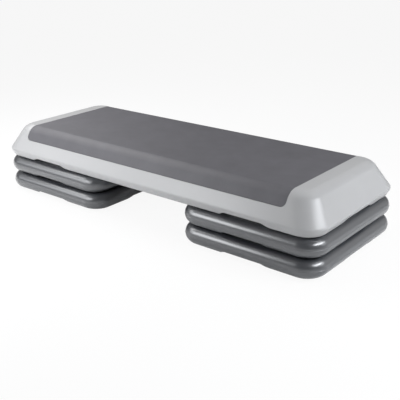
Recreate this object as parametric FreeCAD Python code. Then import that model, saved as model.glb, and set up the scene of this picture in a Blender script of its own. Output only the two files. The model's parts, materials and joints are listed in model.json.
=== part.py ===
import FreeCAD
import Part
import math
import os

# An aerobic step: a hollow moulded deck with a non-slip mat, standing on two stacks of square risers.
# All lengths are millimetres. X runs along the deck, the front faces -Y and Z is up. The origin lies on
# the floor under the middle of the deck.
# Every piece stands on the one below through rubber feet, and a plateau moulded in the top of each riser
# enters a socket in the underside of the next piece, so that the stack lifts apart but cannot slide.

# Deck: length and width over the parting line, and how far each slope runs in from there
deck_length = 1092.0
deck_width = 406.0
deck_height = 92.5
deck_corner_radius = 60.0
deck_side_slope_run = 40.75
deck_end_slope_run = 44.0
deck_top_corner_radius = 42.0
deck_parting_height = 22.0
deck_bottom_inset = 11.5

# Where each rounding of the deck starts, measured back from its sharp edge
deck_top_rounding = 19.0
deck_parting_rounding = 4.0
deck_bottom_rounding = 7.0
deck_rounding_steps = 4

# Mat, measured along the deck and down the slope from the sharp upper edge of the deck
mat_length = 902.0
mat_drop = 41.5
mat_thickness = 3.0
mat_sink = 0.5
mat_corner_radius = 14.0
mat_edge_clearance = 0.3

# Risers: the pitch is what one riser adds to the height of the step
riser_pitch = 51.0
riser_side_inset = 3.0
riser_end_inset = 0.5
riser_corner_radius = 56.0
riser_nose_steps = 8
riser_levels = ("lower", "upper")

# Plateau on top of each riser, inside a flat rim, and the room that it has in the socket above
rim_width = 46.5
plateau_height = 12.0
plateau_corner_cut = 20.0
plateau_edge_chamfer = 2.0
plateau_clearance = 1.5
dish_margin = 44.0
dish_depth = 4.0
dish_corner_cut = 16.0

# Rubber feet, pushed into pockets on the flat rim around each socket
foot_side = 28.0
foot_corner_cut = 6.0
foot_height = 3.0
foot_seat_depth = 3.0
foot_edge_chamfer = 1.0
foot_pocket_clearance = 0.15

# Finger notches in the bottom edge of the deck and of every riser
notch_mouth_width = 150.0
notch_roof_width = 108.0
deck_notch_height = 11.0
riser_notch_height = 8.0
notch_reach = 40.0

# Stiffening pressed into the hidden undersides
tack_off_side = 46.0
tack_off_depth = 5.0
tack_off_corner_cut = 9.0
tack_off_spacing = 112.0
channel_count = 3
channel_width = 40.0
channel_depth = 10.0
channel_corner_cut = 10.0
channel_spacing = 104.0
channel_end_margin = 26.0

# Moulding draft, the overrun of every cutting shape and how close two heights count as one
mould_draft = math.radians(5.0)
overrun = 4.0
same_height = 0.001

# Heights and places that follow from these sizes
deck_landing = len(riser_levels) * riser_pitch
deck_bottom = deck_landing + foot_height
deck_parting = deck_bottom + deck_parting_height
deck_top = deck_bottom + deck_height
deck_top_width = deck_width - 2 * deck_side_slope_run
riser_side = deck_width - 2 * riser_side_inset
riser_centre = deck_length / 2 - riser_end_inset - riser_side / 2
riser_nose_radius = (riser_pitch - foot_height) / 2
rim_outer_half = riser_side / 2 - riser_nose_radius
socket_half = rim_outer_half - rim_width
plateau_side = 2 * (socket_half - plateau_clearance)
foot_offset = rim_outer_half - rim_width / 2
notch_inner_half = riser_side / 2 - notch_reach
stack_ends = {"left": -1, "right": 1}


def rounded_rectangle(centre_x, section):
    """Closed outline of a section, given as its length, width, corner radius and height."""
    length, width, radius, z = section
    reach_x = length / 2 - radius
    reach_y = width / 2 - radius
    arcs = []
    for quarter, (sign_x, sign_y) in enumerate(((1, 1), (-1, 1), (-1, -1), (1, -1))):
        middle = FreeCAD.Vector(centre_x + sign_x * reach_x, sign_y * reach_y, z)
        circle = Part.Circle(middle, FreeCAD.Vector(0, 0, 1), radius)
        start = quarter * math.pi / 2
        arcs.append(circle.trim(start, start + math.pi / 2))
    edges = []
    for arc, following in zip(arcs, arcs[1:] + arcs[:1]):
        edges.append(arc.toShape())
        edges.append(Part.makeLine(arc.EndPoint, following.StartPoint))
    return Part.Wire(edges)


def moulded_body(centre_x, sections):
    """Solid skinned straight from each rounded section to the next, from the bottom up."""
    return Part.makeLoft([rounded_rectangle(centre_x, section) for section in sections], True, True)


def between(first, second, share):
    """Section or point at a share of the way from the first to the second."""
    return tuple(a + (b - a) * share for a, b in zip(first, second))


def eased(before, corner, after):
    """Sections or points of a rounding that leaves one slope and joins the next past a sharp corner."""
    shares = [step / deck_rounding_steps for step in range(deck_rounding_steps + 1)]
    return [between(between(before, corner, s), between(corner, after, s), s) for s in shares]


def grown(section, amount):
    """Section moved outwards all round at its own height."""
    length, width, radius, z = section
    return (length + 2 * amount, width + 2 * amount, radius + amount, z)


def cut_corner_outline(centre, length, width, cut, z):
    """Closed outline of a rectangle with its corners cut off."""
    half_x = length / 2
    half_y = width / 2
    points = []
    for sign_x, sign_y in ((1, 1), (-1, 1), (-1, -1), (1, -1)):
        near_end = (sign_x * half_x, sign_y * (half_y - cut))
        near_side = (sign_x * (half_x - cut), sign_y * half_y)
        points += [near_end, near_side] if sign_x == sign_y else [near_side, near_end]
    corners = [FreeCAD.Vector(centre[0] + x, centre[1] + y, z) for x, y in points]
    return Part.makePolygon(corners + corners[:1])


def drafted_block(centre, length, width, cut, z_wide, z_narrow):
    """Cut-corner block whose walls lean in from its wide end by the moulding draft."""
    lean = 2 * abs(z_narrow - z_wide) * math.tan(mould_draft)
    wide = cut_corner_outline(centre, length, width, cut, z_wide)
    narrow = cut_corner_outline(centre, length - lean, width - lean, cut, z_narrow)
    return Part.makeLoft([wide, narrow], True, True)


def drafted_pocket(centre, length, width, cut, z_mouth, z_floor):
    """Cutting shape of a drafted pocket, which runs past its own mouth."""
    past_mouth = overrun if z_mouth > z_floor else -overrun
    lean = 2 * overrun * math.tan(mould_draft)
    return drafted_block(centre, length + lean, width + lean, cut, z_mouth + past_mouth, z_floor)


def edges_at(shape, z):
    """Every edge of a shape that lies flat at height z."""
    return [
        edge
        for edge in shape.Edges
        if abs(edge.BoundBox.ZMin - z) < same_height and abs(edge.BoundBox.ZMax - z) < same_height
    ]


def interlock(centre_x, z_landing, clearance):
    """Plateau above a landing height, or with a clearance the socket that goes over it."""
    side = plateau_side + 2 * clearance
    z_top = z_landing + plateau_height + clearance
    return drafted_block((centre_x, 0), side, side, plateau_corner_cut, z_landing, z_top)


def foot_places(centre_x):
    """Where the four feet around one stack stand, by name."""
    outward = 1 if centre_x > 0 else -1
    places = {}
    for row, sign_y in (("front", -1), ("back", 1)):
        for side, sign_x in (("outer", outward), ("inner", -outward)):
            places[f"{row}_{side}"] = (centre_x + sign_x * foot_offset, sign_y * foot_offset)
    return places


def foot_block(centre, clearance, z_landing):
    """Square with cut corners that rises from a landing height to the roof of a foot pocket."""
    side = foot_side + 2 * clearance
    outline = cut_corner_outline(centre, side, side, foot_corner_cut, z_landing)
    return Part.Face(outline).extrude(FreeCAD.Vector(0, 0, foot_height + foot_seat_depth))


def foot(centre, z_landing):
    """One rubber foot, with its lower edge eased."""
    pad = foot_block(centre, 0, z_landing)
    return pad.makeChamfer(foot_edge_chamfer, edges_at(pad, z_landing))


def finger_notch(centre_x, turn, outer_half, height, z_under):
    """Cutting shape of one finger notch, on the side that a number of quarter turns points to."""
    mouth = notch_mouth_width / 2
    roof = notch_roof_width / 2
    outline = [(-mouth, -overrun), (mouth, -overrun), (mouth, 0), (roof, height)]
    outline += [(-roof, height), (-mouth, 0)]
    points = [FreeCAD.Vector(notch_inner_half, y, z_under + z) for y, z in outline]
    reach = FreeCAD.Vector(outer_half + overrun - notch_inner_half, 0, 0)
    notch = Part.Face(Part.makePolygon(points + points[:1])).extrude(reach)
    notch.rotate(FreeCAD.Vector(0, 0, 0), FreeCAD.Vector(0, 0, 1), turn * 90)
    notch.translate(FreeCAD.Vector(centre_x, 0, 0))
    return notch


def underside_cuts(centre_x, z_landing):
    """Socket, tack-offs and foot pockets that every piece has over a landing height."""
    socket_roof = z_landing + plateau_height + plateau_clearance
    tack_off_roof = socket_roof + tack_off_depth
    step = tack_off_spacing / 2
    cuts = [interlock(centre_x, z_landing, plateau_clearance)]
    for x, y in ((-step, -step), (step, -step), (step, step), (-step, step)):
        place = (centre_x + x, y)
        size = (tack_off_side, tack_off_side, tack_off_corner_cut)
        cuts.append(drafted_pocket(place, *size, socket_roof, tack_off_roof))
    for place in foot_places(centre_x).values():
        cuts.append(foot_block(place, foot_pocket_clearance, z_landing))
    return cuts


def bull_nose_sections(z_under):
    """Sections of a riser: its side is half a circle from the underside to the rim."""
    z_middle = z_under + riser_nose_radius
    sections = []
    for step in range(riser_nose_steps + 1):
        angle = math.pi * (step / riser_nose_steps - 1 / 2)
        z = z_middle + riser_nose_radius * math.sin(angle)
        widest = (riser_side, riser_side, riser_corner_radius, z)
        sections.append(grown(widest, riser_nose_radius * (math.cos(angle) - 1)))
    return sections


def riser(centre_x, z_landing):
    """Square riser with a bull-nose side, a dished plateau on top and a socket underneath."""
    z_under = z_landing + foot_height
    z_rim = z_landing + riser_pitch
    z_plateau = z_rim + plateau_height
    plateau = interlock(centre_x, z_rim, 0)
    plateau = plateau.makeChamfer(plateau_edge_chamfer, edges_at(plateau, z_plateau))
    dish_side = plateau_side - 2 * dish_margin
    size = (dish_side, dish_side, dish_corner_cut)
    cuts = [drafted_pocket((centre_x, 0), *size, z_plateau, z_plateau - dish_depth)]
    cuts += underside_cuts(centre_x, z_landing)
    for turn in range(4):
        cuts.append(finger_notch(centre_x, turn, riser_side / 2, riser_notch_height, z_under))
    body = moulded_body(centre_x, bull_nose_sections(z_under))
    return body.fuse(plateau).cut(cuts).removeSplitter()


def deck_sections():
    """Sections of the deck from its flat underside, past the parting line, to its flat top."""
    parting = (deck_length, deck_width, deck_corner_radius, deck_parting)
    top_length = deck_length - 2 * deck_end_slope_run
    top = (top_length, deck_top_width, deck_top_corner_radius, deck_top)
    bottom = grown((deck_length, deck_width, deck_corner_radius, deck_bottom), -deck_bottom_inset)
    flank = math.hypot(deck_bottom_inset, deck_parting_height)
    slope = math.hypot(deck_side_slope_run, deck_top - deck_parting)
    sections = eased(
        grown(bottom, -deck_bottom_rounding), bottom, between(bottom, parting, deck_bottom_rounding / flank)
    )
    sections += eased(
        between(parting, bottom, deck_parting_rounding / flank),
        parting,
        between(parting, top, deck_parting_rounding / slope),
    )
    sections += eased(
        between(top, parting, deck_top_rounding / slope), top, grown(top, -deck_top_rounding)
    )
    return sections


def mat_line(depth, drop):
    """Corners of a line across the deck at a depth under its surface, from flap to flap."""
    run = deck_side_slope_run
    rise = deck_top - deck_parting
    slope = math.hypot(run, rise)
    down = (run / slope, -rise / slope)
    inward = (-rise / slope, -run / slope)
    edge = (deck_top_width / 2, deck_top)

    def on_slope(distance):
        return tuple(e + distance * d + depth * i for e, d, i in zip(edge, down, inward))

    past_edge = (edge[0] - deck_top_rounding, deck_top - depth)
    sharp = on_slope(depth * (1 - run / slope) / (rise / slope))
    half = [on_slope(drop)] + eased(on_slope(deck_top_rounding), sharp, past_edge)
    return half + [(-y, z) for y, z in reversed(half)]


def mat_sheet(surface_depth, floor_depth, clearance):
    """Sheet bent over the deck between two depths, with rounded flap corners."""
    length = mat_length + 2 * clearance
    drop = mat_drop + clearance
    outline = mat_line(surface_depth, drop) + mat_line(floor_depth, drop)[::-1]
    points = [FreeCAD.Vector(-length / 2, y, z) for y, z in outline]
    section = Part.Face(Part.makePolygon(points + points[:1]))
    sheet = section.extrude(FreeCAD.Vector(length, 0, 0))
    thickness = floor_depth - surface_depth
    corners = [
        edge
        for edge in sheet.Edges
        if edge.BoundBox.XLength < same_height and abs(edge.Length - thickness) < same_height
    ]
    return sheet.makeFillet(mat_corner_radius + clearance, corners)


def top_mat():
    """Non-slip mat, a little below the surface of the deck around it."""
    return mat_sheet(mat_sink, mat_sink + mat_thickness, 0)


def stiffening_channels():
    """Cutting shapes of the long channels pressed into the underside between the two sockets."""
    length = 2 * (riser_centre - socket_half - channel_end_margin)
    first = -channel_spacing * (channel_count - 1) / 2
    size = (length, channel_width, channel_corner_cut)
    cuts = []
    for number in range(channel_count):
        place = (0, first + number * channel_spacing)
        cuts.append(drafted_pocket(place, *size, deck_bottom, deck_bottom + channel_depth))
    return cuts


def deck_shell():
    """Deck with its mat recess, sockets, foot pockets, finger notches and channels."""
    cuts = [mat_sheet(-overrun, mat_sink + mat_thickness, mat_edge_clearance)]
    cuts += stiffening_channels()
    for sign in stack_ends.values():
        centre_x = sign * riser_centre
        cuts += underside_cuts(centre_x, deck_landing)
        beyond_stack = deck_length / 2 - riser_centre
        for turn, outer_half in ((1, deck_width / 2), (-1, deck_width / 2), (1 - sign, beyond_stack)):
            cuts.append(finger_notch(centre_x, turn, outer_half, deck_notch_height, deck_bottom))
    return moulded_body(0, deck_sections()).cut(cuts).removeSplitter()


def all_pieces():
    """Every piece of the step by its name."""
    pieces = {"deck_shell": deck_shell(), "top_mat": top_mat()}
    for end, sign in stack_ends.items():
        centre_x = sign * riser_centre
        for level, name in enumerate(riser_levels):
            z_landing = level * riser_pitch
            pieces[f"{end}_{name}_riser"] = riser(centre_x, z_landing)
            for place_name, place in foot_places(centre_x).items():
                pieces[f"{end}_{name}_riser_foot_{place_name}"] = foot(place, z_landing)
        for place_name, place in foot_places(centre_x).items():
            pieces[f"deck_foot_{end}_{place_name}"] = foot(place, deck_landing)
    return pieces


os.makedirs("parts", exist_ok=True)
for node, shape in all_pieces().items():
    shape.exportStep(f"parts/{node}.step")
    state = "valid" if shape.isValid() else "BROKEN"
    print(node, len(shape.Solids), "solid", round(shape.Volume), "mm3", state)
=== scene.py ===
# %% [markdown]
# # An aerobic step platform
# The real object is a hollow moulded deck with a non-slip mat, standing on two stacks of square risers.
# The CAD frame already holds every piece at its true size and place. This script gives the pieces their
# looks. The deck, the mat and the risers are modelled again with smooth roundings, because a highlight
# that runs along a rounded edge shows every facet. The rubber feet are flat pads, so the CAD meshes are
# good enough as they are.

# %% Load the frame
import json
import math
import bmesh
import bpy
from mathutils import Matrix, Vector

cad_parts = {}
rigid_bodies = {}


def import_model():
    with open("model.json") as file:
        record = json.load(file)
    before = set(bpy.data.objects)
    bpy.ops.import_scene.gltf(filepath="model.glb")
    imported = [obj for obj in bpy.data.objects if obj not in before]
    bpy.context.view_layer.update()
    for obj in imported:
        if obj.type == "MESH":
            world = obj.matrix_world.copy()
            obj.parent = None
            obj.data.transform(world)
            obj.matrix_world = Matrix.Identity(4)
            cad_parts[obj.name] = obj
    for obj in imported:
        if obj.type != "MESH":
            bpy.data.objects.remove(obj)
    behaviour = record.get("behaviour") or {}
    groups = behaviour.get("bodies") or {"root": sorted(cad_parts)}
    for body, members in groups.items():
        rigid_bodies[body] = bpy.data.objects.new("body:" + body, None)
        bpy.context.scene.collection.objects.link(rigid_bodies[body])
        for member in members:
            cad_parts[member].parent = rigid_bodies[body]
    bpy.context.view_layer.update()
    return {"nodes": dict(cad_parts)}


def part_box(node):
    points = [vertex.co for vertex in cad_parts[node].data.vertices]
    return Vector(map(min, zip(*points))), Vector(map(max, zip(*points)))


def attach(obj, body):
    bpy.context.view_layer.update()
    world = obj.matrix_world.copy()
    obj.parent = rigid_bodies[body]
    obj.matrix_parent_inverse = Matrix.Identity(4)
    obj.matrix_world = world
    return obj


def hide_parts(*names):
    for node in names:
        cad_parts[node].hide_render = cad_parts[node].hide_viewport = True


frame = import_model()

# %% [markdown]
# ## Small helpers for meshes
# Sizes are written in millimetres, as on a drawing, and `mm` turns them into Blender's metres. Two
# points that are closer than `near` count as one. Every closed form here starts as a cube: its upright
# edges are bevelled into rounded corners, and one end can be drawn in a little, as moulded walls are, so
# that they leave the mould.

# %% Blocks with rounded corners
mm = 0.001
near = 0.01 * mm
draft_lean = math.tan(math.radians(5))
pocket_segments = 8


def bevel(bm, geom, offset, segments, affect="EDGES"):
    """Rounds edges or corners with a circular profile."""
    bmesh.ops.bevel(
        bm, geom=geom, offset=offset, offset_type="OFFSET", segments=segments, profile=0.5,
        affect=affect, material=-1, clamp_overlap=False,
    )


def is_at(vert, z):
    """True for a vertex at height z."""
    return abs(vert.co.z - z) < near


def is_level(edge, z=None):
    """True for an edge that lies flat, at height z if one is given."""
    first, second = edge.verts
    return is_at(first, second.co.z) and (z is None or is_at(first, z))


def block(centre, size, z_range, corner, segments=pocket_segments, leans=False):
    """A block with rounded upright corners. Leaning walls draw in towards the end of the z range."""
    start, end = z_range
    depth = abs(end - start)
    bm = bmesh.new()
    bmesh.ops.create_cube(bm, size=1)
    bmesh.ops.scale(bm, verts=bm.verts[:], vec=(*size, depth))
    bmesh.ops.translate(bm, verts=bm.verts[:], vec=(*centre, (start + end) / 2))
    bevel(bm, [e for e in bm.edges if not is_level(e)], corner, segments)
    if leans:
        narrow = [v for v in bm.verts if is_at(v, end)]
        drawn_in = 2 * depth * draft_lean
        shrink = (1 - drawn_in / size[0], 1 - drawn_in / size[1], 1)
        around = Matrix.Translation((-centre[0], -centre[1], 0))
        bmesh.ops.scale(bm, verts=narrow, vec=shrink, space=around)
    return bm


def as_object(name, bm):
    """Puts a finished bmesh into the scene, with its place in its mesh."""
    bmesh.ops.recalc_face_normals(bm, faces=bm.faces[:])
    mesh = bpy.data.meshes.new(name)
    bm.to_mesh(mesh)
    bm.free()
    made = bpy.data.objects.new(name, mesh)
    bpy.context.scene.collection.objects.link(made)
    return made


print("draft of the moulded walls:", round(draft_lean, 4), "per unit of depth")

# %% [markdown]
# ## Cutting pockets
# A blow mould presses pockets, sockets and finger notches into the hollow body. Modelling them face by
# face would hide the idea, so each one is a plain block of its own and a Boolean modifier takes it out
# of the body. A plateau is a block too, and is added in the same way before the cuts.

# %% Cutting
boolean_solver = "EXACT"


def carved(body, cutters, added=()):
    """Applies the added blocks and the cutters to a body, and removes them from the scene."""
    for operation, tools in (("UNION", added), ("DIFFERENCE", cutters)):
        for tool in tools:
            step = body.modifiers.new(tool.name, "BOOLEAN")
            step.operation = operation
            step.solver = boolean_solver
            step.object = tool
    bpy.context.view_layer.update()
    evaluated = body.evaluated_get(bpy.context.evaluated_depsgraph_get())
    result = bpy.data.meshes.new_from_object(evaluated)
    name, old = body.name, body.data
    body.modifiers.clear()
    body.data = result
    bpy.data.meshes.remove(old)
    result.name = name
    for tool in [*cutters, *added]:
        data = tool.data
        bpy.data.objects.remove(tool)
        bpy.data.meshes.remove(data)
    print(name, "carved by", len(cutters), "cutters, with", len(added), "blocks added")
    return body


print("pockets are cut with the solver", boolean_solver)

# %% [markdown]
# ## Softening edges
# The sharp edges that the cuts leave are bevelled a little, because a moulded edge is never sharp. Where
# bevels meet they can leave points on top of each other. These are merged, so that each mesh stays one
# closed skin. A Weighted Normal modifier then keeps the large flat faces flat to the eye.

# %% Softening
rounded_turn = math.radians(30)
shaded_turn = math.radians(35)
edge_segments = 3


def merge_points(bm, distance):
    """Joins points that lie within a distance, and removes the empty edges and faces this leaves."""
    bmesh.ops.remove_doubles(bm, verts=bm.verts[:], dist=distance)
    bmesh.ops.dissolve_degenerate(bm, edges=bm.edges[:], dist=distance)


def softened(body, width, keep_sharp=lambda edge: False):
    """Rounds every edge that turns sharply, and shades the rest smooth."""
    bm = bmesh.new()
    bm.from_mesh(body.data)
    merge_points(bm, 2 * near)
    turning = [e for e in bm.edges if e.is_manifold and e.calc_face_angle(0) > rounded_turn]
    bevel(bm, [e for e in turning if not keep_sharp(e)], width, edge_segments)
    merge_points(bm, near)
    bmesh.ops.dissolve_verts(bm, verts=[v for v in bm.verts if len(v.link_edges) == 2])
    open_edges = sum(not e.is_manifold for e in bm.edges)
    litres = bm.calc_volume() * 1000
    bm.to_mesh(body.data)
    bm.free()
    body.data.shade_smooth()
    body.data.set_sharp_from_angle(angle=shaded_turn)
    even = body.modifiers.new("even shading of flat faces", "WEIGHTED_NORMAL")
    even.keep_sharp = True
    print(body.name, len(body.data.polygons), "faces,", open_edges, "open edges,", round(litres, 3), "litres")
    return body


print("edges that turn by more than", round(math.degrees(rounded_turn)), "degrees are rounded")

# %% [markdown]
# ## Undersides
# The underside of the deck over each stack is the same as the underside of a riser: a socket that goes
# over the plateau below, four small tack-off pockets that stiffen its roof, and four pockets for the
# rubber feet. Half of each foot is in its pocket. One function makes these cutters, so every piece fits
# on every riser.

# %% Undersides
foot_height = 3 * mm
foot_reach = 152.75 * mm
foot_pocket_side = 28.3 * mm
foot_pocket_corner = 6 * mm
plateau_side = 256 * mm
plateau_height = 12 * mm
plateau_corner = 34 * mm
plateau_clearance = 1.5 * mm
socket_side = plateau_side + 2 * plateau_clearance
tack_off_side = 46 * mm
tack_off_reach = 56 * mm
tack_off_depth = 5 * mm
tack_off_corner = 12 * mm
overrun = 4 * mm
quarters = [(x, y) for x in (-1, 1) for y in (-1, 1)]


def cutter(name, centre, side, z_range, corner, segments=pocket_segments, leans=True):
    """One square block that cuts a pocket."""
    return as_object(name, block(centre, (side, side), z_range, corner, segments, leans))


def underside_cutters(centre_x, landing):
    """Socket, tack-offs and foot pockets over the height that the piece lands on."""
    roof = landing + plateau_height + plateau_clearance
    tack_off = (roof - overrun, roof + tack_off_depth)
    foot_pocket = (landing, landing + 2 * foot_height)
    tools = [cutter("socket", (centre_x, 0), socket_side, (landing, roof), plateau_corner)]
    for x, y in quarters:
        place = (centre_x + x * tack_off_reach, y * tack_off_reach)
        tools.append(cutter("tack_off", place, tack_off_side, tack_off, tack_off_corner))
        place = (centre_x + x * foot_reach, y * foot_reach)
        pocket = cutter("foot_pocket", place, foot_pocket_side, foot_pocket, foot_pocket_corner, 1, False)
        tools.append(pocket)
    return tools


print("socket", round(socket_side / mm, 1), "mm wide over a plateau of", round(plateau_side / mm, 1), "mm")

# %% [markdown]
# ## Finger notches
# A finger notch is a low trapezium in the bottom edge, where fingertips get under a piece to lift it.
# Its cutter is a cube with a narrower roof. The face at its mouth is extruded down, so that the cutter
# passes the bottom edge, and the inner edges of the roof are rounded. The notches of the risers are as
# high as the deck's, as they look in the photograph, which is 3 mm more than in the CAD part.

# %% Finger notches
notch_mouth = 150 * mm
notch_roof = 108 * mm
notch_inner = 160 * mm
notch_height = 11 * mm
notch_rounding = 3 * mm
notch_segments = 4


def finger_notch(centre_x, quarter_turns, outer, under):
    """Cutter of a finger notch in the bottom edge, on the side that the quarter turns from +X point to."""
    bm = bmesh.new()
    length = outer + overrun - notch_inner
    roof_z = under + notch_height
    bmesh.ops.create_cube(bm, size=1)
    bmesh.ops.scale(bm, verts=bm.verts[:], vec=(length, notch_mouth, notch_height))
    middle = (notch_inner + length / 2, 0, under + notch_height / 2)
    bmesh.ops.translate(bm, verts=bm.verts[:], vec=middle)
    roof = [v for v in bm.verts if is_at(v, roof_z)]
    bmesh.ops.scale(bm, verts=roof, vec=(1, notch_roof / notch_mouth, 1))
    mouth = [f for f in bm.faces if all(is_at(v, under) for v in f.verts)]
    lowered = bmesh.ops.extrude_face_region(bm, geom=mouth)["geom"]
    bmesh.ops.delete(bm, geom=mouth, context="FACES_ONLY")
    below = [g for g in lowered if isinstance(g, bmesh.types.BMVert)]
    bmesh.ops.translate(bm, verts=below, vec=(0, 0, -overrun))
    inner = [e for e in bm.edges if is_level(e, roof_z) and min(v.co.x for v in e.verts) < outer]
    bevel(bm, inner, notch_rounding, notch_segments)
    turn = Matrix.Translation((centre_x, 0, 0)) @ Matrix.Rotation(quarter_turns * math.pi / 2, 4, "Z")
    bmesh.ops.transform(bm, matrix=turn, verts=bm.verts[:])
    return as_object("finger_notch", bm)


print("finger notch", round(notch_mouth / mm), "mm wide and", round(notch_height / mm), "mm high")

# %% [markdown]
# ## The deck
# The deck is a long tray turned upside down: widest at the parting line of its two mould halves, drawn
# in a little below it and sloping in to the flat top above it. A cube with bevelled upright edges gives
# the outline at the parting line. A cut at that height gives a loop to work from, the top and bottom
# loops are moved corner by corner to their own lengths and radii, and the three loops are then rounded.

# %% Deck body
deck_low, deck_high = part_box("deck_shell")
deck_bottom, deck_top = deck_low.z, deck_high.z
parting_height = 22 * mm
deck_parting = deck_bottom + parting_height
outline_segments = 28
top_rounding = 19 * mm
top_segments = 14

# Length, width and corner radius of the outline at three heights.
deck_at_parting = (1092 * mm, 406 * mm, 60 * mm)
deck_at_top = (1004 * mm, 324.5 * mm, 42 * mm)
deck_at_bottom = (1069 * mm, 383 * mm, 48.5 * mm)

# Height, rounding and segments of the three loops.
deck_roundings = (
    (deck_bottom, 7 * mm, 6),
    (deck_parting, 4 * mm, 4),
    (deck_top, top_rounding, top_segments),
)


def corner_centre(outline, x, y):
    """Centre of one rounded corner of an outline, in the quarter that x and y point to."""
    length, width, radius = outline
    return Vector((x * (length / 2 - radius), y * (width / 2 - radius), 0))


def move_outline(bm, z, before, after):
    """Moves each rounded corner of the outline at height z to another length, width and radius."""
    scale = after[2] / before[2]
    for x, y in quarters:
        corner = [v for v in bm.verts if is_at(v, z) and v.co.x * x > 0 and v.co.y * y > 0]
        old = corner_centre(before, x, y)
        new = corner_centre(after, x, y)
        bmesh.ops.scale(bm, verts=corner, vec=(scale, scale, 1), space=Matrix.Translation(-old))
        bmesh.ops.translate(bm, verts=corner, vec=new - old)


bm = block((0, 0), deck_at_parting[:2], (deck_bottom, deck_top), deck_at_parting[2], outline_segments)
everything = bm.verts[:] + bm.edges[:] + bm.faces[:]
bmesh.ops.bisect_plane(bm, geom=everything, plane_co=(0, 0, deck_parting), plane_no=(0, 0, 1))
move_outline(bm, deck_top, deck_at_parting, deck_at_top)
move_outline(bm, deck_bottom, deck_at_parting, deck_at_bottom)
for height, rounding, segments in deck_roundings:
    bevel(bm, [e for e in bm.edges if is_level(e, height)], rounding, segments)
deck = as_object("deck_moulding", bm)
deck_heights = [round(z, 4) for z in (deck_bottom, deck_parting, deck_top)]
print("deck body:", len(deck.data.polygons), "faces, loops at", deck_heights, "m")

# %% [markdown]
# ## The mat and its recess
# The mat is a rubber sheet that lies in a shallow recess and turns down over both long edges. One
# function bends the sheet: a strip of three faces across the deck, its two bends rounded, its four flap
# corners rounded, and then a thickness. Called with more room and more thickness, the same function
# makes the cutter of the recess, so the mat is sure to fit.

# %% Bent sheet
mat_length = 902 * mm
mat_drop = 41.5 * mm
mat_corner = 14 * mm
mat_corner_segments = 10
mat_thickness = 3 * mm
mat_sink = 0.5 * mm
mat_gap = 0.3 * mm
slope_run = (deck_at_parting[1] - deck_at_top[1]) / 2
slope_rise = deck_top - deck_parting
slope_length = math.hypot(slope_run, slope_rise)
half_turn = math.tan(math.atan2(slope_rise, slope_run) / 2)
bend_radius = top_rounding / half_turn


def bent_sheet(name, depth, thickness, gap):
    """Sheet over the deck whose upper face lies at a depth under the deck's surface."""
    flat_z = deck_top - depth
    edge_y = deck_at_top[1] / 2 - depth * half_turn
    drop = mat_drop + gap - depth * half_turn
    length = mat_length + 2 * gap
    flap_y = edge_y + drop * slope_run / slope_length
    flap_z = flat_z - drop * slope_rise / slope_length
    line = [(-flap_y, flap_z), (-edge_y, flat_z), (edge_y, flat_z), (flap_y, flap_z)]
    bm = bmesh.new()
    start = [bm.verts.new((-length / 2, y, z)) for y, z in line]
    strip = [bm.edges.new(pair) for pair in zip(start, start[1:])]
    made = bmesh.ops.extrude_edge_only(bm, edges=strip)["geom"]
    far = [g for g in made if isinstance(g, bmesh.types.BMVert)]
    bmesh.ops.translate(bm, verts=far, vec=(length, 0, 0))
    corners = [v for v in bm.verts if is_at(v, flap_z)]
    bevel(bm, corners, mat_corner + gap, mat_corner_segments, "VERTICES")
    bends = [e for e in bm.edges if is_level(e, flat_z) and len(e.link_faces) == 2]
    bevel(bm, bends, (bend_radius - depth) * half_turn, top_segments)
    bmesh.ops.recalc_face_normals(bm, faces=bm.faces[:])
    if sum(f.normal.z * f.calc_area() for f in bm.faces) < 0:
        bmesh.ops.reverse_faces(bm, faces=bm.faces[:])
    bmesh.ops.solidify(bm, geom=bm.faces[:], thickness=thickness)
    return as_object(name, bm)


mat = bent_sheet("tread_mat", mat_sink, mat_thickness, 0)
mat_recess = bent_sheet("mat_recess", -overrun, overrun + mat_sink + mat_thickness, mat_gap)
print("mat:", [round(c, 4) for c in mat.dimensions], "recess:", [round(c, 4) for c in mat_recess.dimensions])

# %% [markdown]
# ## Cutting the deck
# The recess comes out of the top, and out of the underside come the sockets and foot pockets over both
# stacks, the finger notches and three long channels that stiffen the span between the stacks. The deck
# has notches at the front, at the back and at its ends.

# %% Deck details
riser_reach = 345.5 * mm
channel_width = 40 * mm
channel_spacing = 104 * mm
channel_depth = 10 * mm
channel_corner = 12 * mm
channel_margin = 26 * mm
channel_size = (2 * (riser_reach - socket_side / 2 - channel_margin), channel_width)
channel_range = (deck_bottom - overrun, deck_bottom + channel_depth)
moulded_edge = 0.9 * mm
mat_edge = 0.8 * mm

half_length = deck_at_parting[0] / 2
half_width = deck_at_parting[1] / 2

tools = [mat_recess]
for number in (-1, 0, 1):
    channel = block((0, number * channel_spacing), channel_size, channel_range, channel_corner, leans=True)
    tools.append(as_object("channel", channel))
for side in (-1, 1):
    stack_x = side * riser_reach
    notches = ((1, half_width), (-1, half_width), (1 - side, half_length - riser_reach))
    tools += underside_cutters(stack_x, deck_bottom - foot_height)
    for quarter_turns, outer in notches:
        tools.append(finger_notch(stack_x, quarter_turns, outer, deck_bottom))
softened(carved(deck, tools), moulded_edge)
softened(mat, mat_edge)

# %% [markdown]
# ## The body of a riser
# A riser is a square hollow slab whose side is half a circle, like the edge of a bull-nosed tread. The
# nose is two bevels, from above and from below, which leave a narrow band at mid height. Pushed out a
# little, that band is the seam where the two mould halves met.

# %% Riser body
riser_side = 400 * mm
riser_corner = 56 * mm
riser_pitch = 51 * mm
seam_height = 1.6 * mm
seam_stand = 0.35 * mm
nose_radius = (riser_pitch - foot_height - seam_height) / 2
nose_segments = 16


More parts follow.
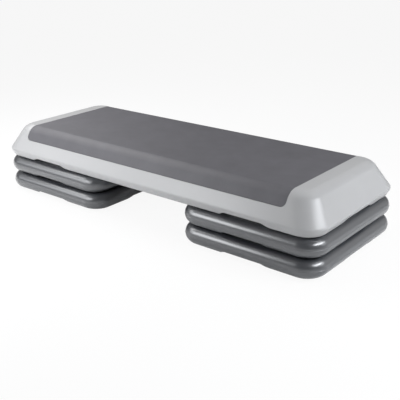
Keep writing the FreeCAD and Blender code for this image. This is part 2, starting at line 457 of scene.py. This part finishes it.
def riser_body(name, centre_x, under, rim):
    """Bull-nosed slab between two heights, with its seam."""
    side = riser_side - 2 * seam_stand
    middle = (under + rim) / 2
    bm = block((centre_x, 0), (side, side), (under, rim), riser_corner - seam_stand, outline_segments)
    bevel(bm, [e for e in bm.edges if is_level(e)], nose_radius, nose_segments)
    seam = [f for f in bm.faces if abs(f.calc_center_median().z - middle) < near]
    bmesh.ops.inset_region(bm, faces=seam, thickness=seam_stand, depth=seam_stand, use_even_offset=True)
    return as_object(name, bm)


print("riser nose:", round(nose_radius / mm, 1), "mm radius in", nose_segments, "segments")

# %% [markdown]
# ## Plateau, pockets and stacking
# The plateau on top of a riser is what the next piece is located by. Its walls lean, so that the piece
# above slides on, and a shallow dish stiffens its top. The same function makes all four risers, two in
# each stack. The edges of the seam are kept out of the softening, which would round the thin band away.

# %% Risers
plateau_rounding = 3 * mm
plateau_segments = 4
dish_margin = 44 * mm
dish_depth = 4 * mm
dish_corner = 26 * mm
seam_band = 2 * mm


def plateau(centre_x, rim):
    """Raised plateau over the rim, with a rounded top edge."""
    side = plateau_side + 2 * overrun * draft_lean
    top = rim + plateau_height
    bm = block((centre_x, 0), (side, side), (rim - overrun, top), plateau_corner, leans=True)
    bevel(bm, [e for e in bm.edges if is_level(e, top)], plateau_rounding, plateau_segments)
    return as_object("plateau", bm)


def riser(name, centre_x, landing):
    """One riser over the height that it lands on."""
    under = landing + foot_height
    rim = landing + riser_pitch
    middle = (under + rim) / 2
    top = rim + plateau_height
    dish = (top + overrun, top - dish_depth)
    body = riser_body(name, centre_x, under, rim)
    cuts = [cutter("dish", (centre_x, 0), plateau_side - 2 * dish_margin, dish, dish_corner)]
    cuts += underside_cutters(centre_x, landing)
    cuts += [finger_notch(centre_x, turns, riser_side / 2, under) for turns in range(4)]
    carved(body, cuts, [plateau(centre_x, rim)])
    return softened(body, moulded_edge, lambda e: all(abs(v.co.z - middle) < seam_band for v in e.verts))


risers = {}
for end, sign in (("left", -1), ("right", 1)):
    for level, landing in (("lower", 0), ("upper", riser_pitch)):
        node = f"{end}_{level}_riser"
        risers[node] = riser(node + "_moulding", sign * riser_reach, landing)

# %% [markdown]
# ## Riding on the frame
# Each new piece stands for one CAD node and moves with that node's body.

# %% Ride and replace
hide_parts("deck_shell")
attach(deck, "deck")
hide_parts("top_mat")
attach(mat, "deck")
for node, piece in risers.items():
    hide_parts(node)
    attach(piece, node)
feet = [piece for node, piece in frame["nodes"].items() if "_foot_" in node]
print(len(risers), "risers ride on their own bodies, and", len(feet), "rubber feet stay as CAD nodes")

# %% [markdown]
# ## Materials
# One function turns a hex colour, as a paint chart gives it, into the linear values that the renderer
# works with. Another adds a node, sets it and links it. Object coordinates are in metres, so a texture
# whose grain is g millimetres wide gets a scale of 1000 / g.

# %% Colour and node helpers


def linear(hex_colour):
    """Linear colour of an sRGB hex value."""
    shares = [int(hex_colour[i : i + 2], 16) / 255 for i in (1, 3, 5)]
    return [s / 12.92 if s <= 0.04045 else ((s + 0.055) / 1.055) ** 2.4 for s in shares] + [1.0]


def add_node(tree, kind, links, **settings):
    """Adds a node, sets its properties, and gives its sockets values or links."""
    made = tree.nodes.new(kind)
    for name, value in settings.items():
        setattr(made, name, value)
    for socket, value in links.items():
        if isinstance(value, bpy.types.NodeSocket):
            tree.links.new(value, made.inputs[socket])
        else:
            made.inputs[socket].default_value = value
    return made


def empty_tree(owner):
    """The cleared node tree of a material or a world."""
    owner.use_nodes = True
    owner.node_tree.nodes.clear()
    return owner.node_tree


def new_material(name):
    """A material with its empty tree and the Object coordinates in it."""
    material = bpy.data.materials.new(name)
    tree = empty_tree(material)
    return material, tree, add_node(tree, "ShaderNodeTexCoord", {}).outputs["Object"]


def dress(piece, material):
    """Gives a piece one material all over."""
    piece.data.materials.clear()
    piece.data.materials.append(material)


print("mid grey #808080 is", round(linear("#808080")[0], 3), "of white in linear light")

# %% [markdown]
# ### Moulded polyethylene
# The deck and the risers are blow-moulded HDPE. The wall cools unevenly, which leaves soft cloudy
# patches in the gloss and in the colour, and the mould's surface gives a fine stipple. The two finishes
# differ only in their colours, in how strong the stipple is and in their gloss, so one function makes
# both.

# %% Moulded plastic
stipple_width = 4


def moulded_plastic(name, cloud_width, colours, roughness, stipple, finish):
    """Material of a moulded plastic. Widths are in millimetres, and finish sets further sockets."""
    material, tree, place = new_material(name)
    clouds = add_node(
        tree, "ShaderNodeTexNoise",
        {"Vector": place, "Scale": 1000 / cloud_width, "Detail": 3, "Roughness": 0.5},
    )
    grain = add_node(
        tree, "ShaderNodeTexNoise",
        {"Vector": place, "Scale": 1000 / stipple_width, "Detail": 2, "Roughness": 0.6},
    )
    dark, light = [linear(colour) for colour in colours]
    tint = add_node(tree, "ShaderNodeMix", {0: clouds.outputs["Fac"], 6: dark, 7: light}, data_type="RGBA")
    least, most = roughness
    gloss = add_node(
        tree, "ShaderNodeMapRange",
        {"Value": clouds.outputs["Fac"], "From Min": 0.3, "From Max": 0.7, "To Min": least, "To Max": most},
    )
    bump = add_node(tree, "ShaderNodeBump", {"Height": grain.outputs["Fac"], **stipple})
    shader = add_node(
        tree, "ShaderNodeBsdfPrincipled",
        {
            "Base Color": tint.outputs[2],
            "Roughness": gloss.outputs["Result"],
            "Normal": bump.outputs["Normal"],
            **finish,
        },
    )
    add_node(tree, "ShaderNodeOutputMaterial", {"Surface": shader.outputs["BSDF"]})
    return material


print("stipple drawn", stipple_width, "mm wide, at a scale of", 1000 / stipple_width)

# %% [markdown]
# ### Moulded light grey HDPE
# The deck's mould is sand-blasted, so the light grey plastic has a satin gloss and a stipple that can be
# seen.

# %% Deck plastic
deck_plastic = moulded_plastic(
    "moulded light grey HDPE",
    cloud_width=70,
    colours=("#ADADAE", "#B3B3B3"),
    roughness=(0.31, 0.34),
    stipple={"Strength": 0.12, "Distance": 0.2 * mm},
    finish={"IOR": 1.5},
)
dress(deck, deck_plastic)
print(deck_plastic.name, "on", deck.name)

# %% [markdown]
# ### Moulded dark grey HDPE
# The risers are the same plastic in dark grey, from a polished mould, so they shine more: a smooth clear
# skin lies over the colour, light lines run along the noses and the faces between them look almost
# black.

# %% Riser plastic
riser_plastic = moulded_plastic(
    "moulded dark grey HDPE",
    cloud_width=60,
    colours=("#3A3C40", "#3F4145"),
    roughness=(0.31, 0.36),
    stipple={"Strength": 0.05, "Distance": 0.1 * mm},
    finish={"IOR": 1.53, "Specular IOR Level": 1.0, "Coat Weight": 1.0, "Coat Roughness": 0.25},
)
for piece in risers.values():
    dress(piece, riser_plastic)
print(riser_plastic.name, "on", len(risers), "risers")

# %% [markdown]
# ### Grained rubber mat
# The mat is a calendered rubber sheet with a pebbled grain that keeps a shoe from slipping. The real
# pebbles are about a millimetre across, too fine to show from a step away, so they are drawn a few
# millimetres wide.

# %% Mat rubber
pebble_width = 4.5
patch_width = 55
material, tree, place = new_material("grained rubber sheet")
pebbles = add_node(
    tree, "ShaderNodeTexVoronoi", {"Vector": place, "Scale": 1000 / pebble_width}, feature="SMOOTH_F1",
)
patches = add_node(
    tree, "ShaderNodeTexNoise",
    {"Vector": place, "Scale": 1000 / patch_width, "Detail": 4, "Roughness": 0.6},
)
tint = add_node(
    tree, "ShaderNodeMix",
    {0: patches.outputs["Fac"], 6: linear("#515054"), 7: linear("#626166")}, data_type="RGBA",
)
bump = add_node(
    tree, "ShaderNodeBump",
    {"Height": pebbles.outputs["Distance"], "Strength": 0.25, "Distance": 0.3 * mm}, invert=True,
)
shader = add_node(
    tree, "ShaderNodeBsdfPrincipled",
    {"Base Color": tint.outputs[2], "Normal": bump.outputs["Normal"], "Roughness": 0.57, "IOR": 1.5},
)
add_node(tree, "ShaderNodeOutputMaterial", {"Surface": shader.outputs["BSDF"]})
dress(mat, material)
print(material.name, "on", mat.name)

# %% [markdown]
# ### Black rubber
# The feet are soft black rubber, matt, with a faint dusting of lighter specks from the mould.

# %% Foot rubber
speck_width = 3
material, tree, place = new_material("moulded black rubber")
specks = add_node(
    tree, "ShaderNodeTexNoise",
    {"Vector": place, "Scale": 1000 / speck_width, "Detail": 2, "Roughness": 0.6},
)
tint = add_node(
    tree, "ShaderNodeMix",
    {0: specks.outputs["Fac"], 6: linear("#1B1B1C"), 7: linear("#2A2A2B")}, data_type="RGBA",
)
bump = add_node(
    tree, "ShaderNodeBump",
    {"Height": specks.outputs["Fac"], "Strength": 0.2, "Distance": 0.2 * mm},
)
shader = add_node(
    tree, "ShaderNodeBsdfPrincipled",
    {"Base Color": tint.outputs[2], "Normal": bump.outputs["Normal"], "Roughness": 0.75},
)
add_node(tree, "ShaderNodeOutputMaterial", {"Surface": shader.outputs["BSDF"]})
for piece in feet:
    dress(piece, material)
print(material.name, "on", len(feet), "feet")

# %% [markdown]
# ## Floor and room
# The step stands on white studio paper. To the camera the paper and the room behind it are nearly plain
# white, and the rest of the paper's share is real, so it still takes the shadow. Mirrored in the plastic
# they are dimmer, because a studio is white around the object and dark further off, and that dark is
# what sets the highlights apart. One function works out such a share from the kind of ray that is
# asking.

# %% Floor
floor_reach = 12
floor_seen = 0.92
floor_mirrored = 0.1


def share_by_ray(tree, seen, mirrored):
    """Socket with one share for a look from the camera and another for a reflection."""
    rays = add_node(tree, "ShaderNodeLightPath", {}).outputs
    looked_at = add_node(
        tree, "ShaderNodeMath",
        {0: rays["Is Camera Ray"], 1: rays["Is Transmission Ray"]}, operation="MAXIMUM",
    )
    direct = add_node(tree, "ShaderNodeMath", {0: looked_at.outputs[0], 1: seen}, operation="MULTIPLY")
    glossy = add_node(tree, "ShaderNodeMath", {0: rays["Is Glossy Ray"], 1: mirrored}, operation="MULTIPLY")
    larger = add_node(
        tree, "ShaderNodeMath", {0: direct.outputs[0], 1: glossy.outputs[0]}, operation="MAXIMUM",
    )
    return larger.outputs[0]


bm = bmesh.new()
bmesh.ops.create_grid(bm, x_segments=1, y_segments=1, size=floor_reach)
floor = as_object("floor", bm)
material = bpy.data.materials.new("white studio floor")
tree = empty_tree(material)
share = share_by_ray(tree, floor_seen, floor_mirrored)
paper = add_node(tree, "ShaderNodeBsdfDiffuse", {"Color": linear("#F6F6F6")})
white = add_node(tree, "ShaderNodeEmission", {"Color": linear("#FFFFFF"), "Strength": 1})
mixed = add_node(tree, "ShaderNodeMixShader", {0: share, 1: paper.outputs[0], 2: white.outputs[0]})
add_node(tree, "ShaderNodeOutputMaterial", {"Surface": mixed.outputs[0]})
dress(floor, material)
print("floor at z =", floor.location.z, "reaching", floor_reach, "m each way")

# %% [markdown]
# ## The room's light
# The room is a plain white world. It is about as bright as the paper to the camera, dim in a reflection,
# and dimmer still as a light, so that the lamps do the lighting and their shine shows.

# %% World
room_seen = 0.93
room_mirrored = 0.2
room_light = 0.1

world = bpy.data.worlds.new("studio")
bpy.context.scene.world = world
tree = empty_tree(world)
share = share_by_ray(tree, room_seen, room_mirrored)
strength = add_node(tree, "ShaderNodeMath", {0: share, 1: room_light}, operation="MAXIMUM")
room = add_node(
    tree, "ShaderNodeBackground", {"Color": linear("#FFFFFF"), "Strength": strength.outputs[0]},
)
add_node(tree, "ShaderNodeOutputWorld", {"Surface": room.outputs[0]})
print("room:", room_seen, "to the camera,", room_mirrored, "in a reflection and", room_light, "as a light")

# %% [markdown]
# ## Lamps
# Every lamp is a softbox, a white cloth with a lamp behind it, and its size and place can be read from
# the shine it leaves. A broad one in front on the left makes the wide light line along the noses of the
# left stack, and a small fill beside it carries that line on along the right stack. One above the left
# end lies where the mat's turned-down edge would mirror it, so the bend shows as a soft light band that
# fades to the right. A long narrow one beyond the right end makes the upright stripe on the deck's near
# corner and the small bright spots under it. The others are weak and large: they light the top and the
# far end without a shine of their own.

# %% Lamps
daylight = "#FAFCFF"
cool_daylight = "#F8FBFF"
plain_white = "#FFFFFF"


def lamp(name, place, aim, size, power, colour):
    """A soft rectangular lamp that points at a spot, with sizes and places in metres."""
    light = bpy.data.lights.new(name, "AREA")
    light.shape = "RECTANGLE"
    light.size, light.size_y = size
    light.energy = power
    light.color = linear(colour)[:3]
    made = bpy.data.objects.new(name, light)
    made.location = place
    made.rotation_euler = (Vector(aim) - Vector(place)).to_track_quat("-Z", "Y").to_euler()
    bpy.context.scene.collection.objects.link(made)
    return made


lamps = [
    lamp("front_left_softbox", (-0.95, -1.05, 0.65), (-0.3, -0.1, 0.1), (1.0, 0.8), 7.5, daylight),
    lamp("front_fill_softbox", (-0.25, -0.85, 0.45), (-0.2, -0.15, 0.1), (0.4, 0.4), 2.1, daylight),
    lamp("upper_left_softbox", (-0.85, -0.12, 1.0), (-0.3, -0.1, 0.15), (1.0, 0.9), 11.8, plain_white),
    lamp("right_softbox", (1.3, 0, 0.75), (0.5, 0, 0.1), (0.9, 0.2), 9.0, cool_daylight),
    lamp("right_fill_softbox", (2.2, 0.6, 0.7), (0.4, 0, 0.1), (0.8, 0.8), 2.8, cool_daylight),
    lamp("upper_right_softbox", (0.8, 0.4, 1.4), (0.4, 0, 0.15), (1.0, 1.0), 4.0, plain_white),
    lamp("back_right_softbox", (1.5, 1.4, 0.55), (0.4, 0, 0.1), (1.4, 0.9), 1.9, plain_white),
    lamp("back_softbox", (0, 1.6, 1.6), (0, 0, 0.12), (1.6, 0.8), 2.6, plain_white),
]
print(len(lamps), "softboxes with", round(sum(made.data.energy for made in lamps), 1), "W in all")

# %% [markdown]
# ## Camera
# The camera stands off the near right corner, a little above the deck. Its place was found by matching
# the edges of the frame to the photograph, which also gave the focal length and a slight roll.

# %% Camera
azimuth, elevation, roll = math.radians(39.672), math.radians(21.248), math.radians(-1.006)
distance = 1948.65 * mm
aim = Vector((59.14 * mm, 0, 32.01 * mm))
sensor_width = 36
focal_pixels = 700.05
photo_pixels = 400

level_reach = math.cos(elevation)
back = Vector((math.sin(azimuth) * level_reach, -math.cos(azimuth) * level_reach, math.sin(elevation)))
camera = bpy.data.objects.new("camera", bpy.data.cameras.new("camera"))
camera.data.sensor_width = sensor_width
camera.data.lens = sensor_width * focal_pixels / photo_pixels
camera.matrix_world = (
    Matrix.Translation(aim + back * distance)
    @ back.to_track_quat("Z", "Y").to_matrix().to_4x4()
    @ Matrix.Rotation(roll, 4, "Z")
)
bpy.context.scene.collection.objects.link(camera)
bpy.context.scene.camera = camera
bpy.context.scene.view_settings.view_transform = "Standard"
spot = [round(c, 3) for c in camera.matrix_world.translation]
print("camera at", spot, "lens", round(camera.data.lens, 2), "mm")
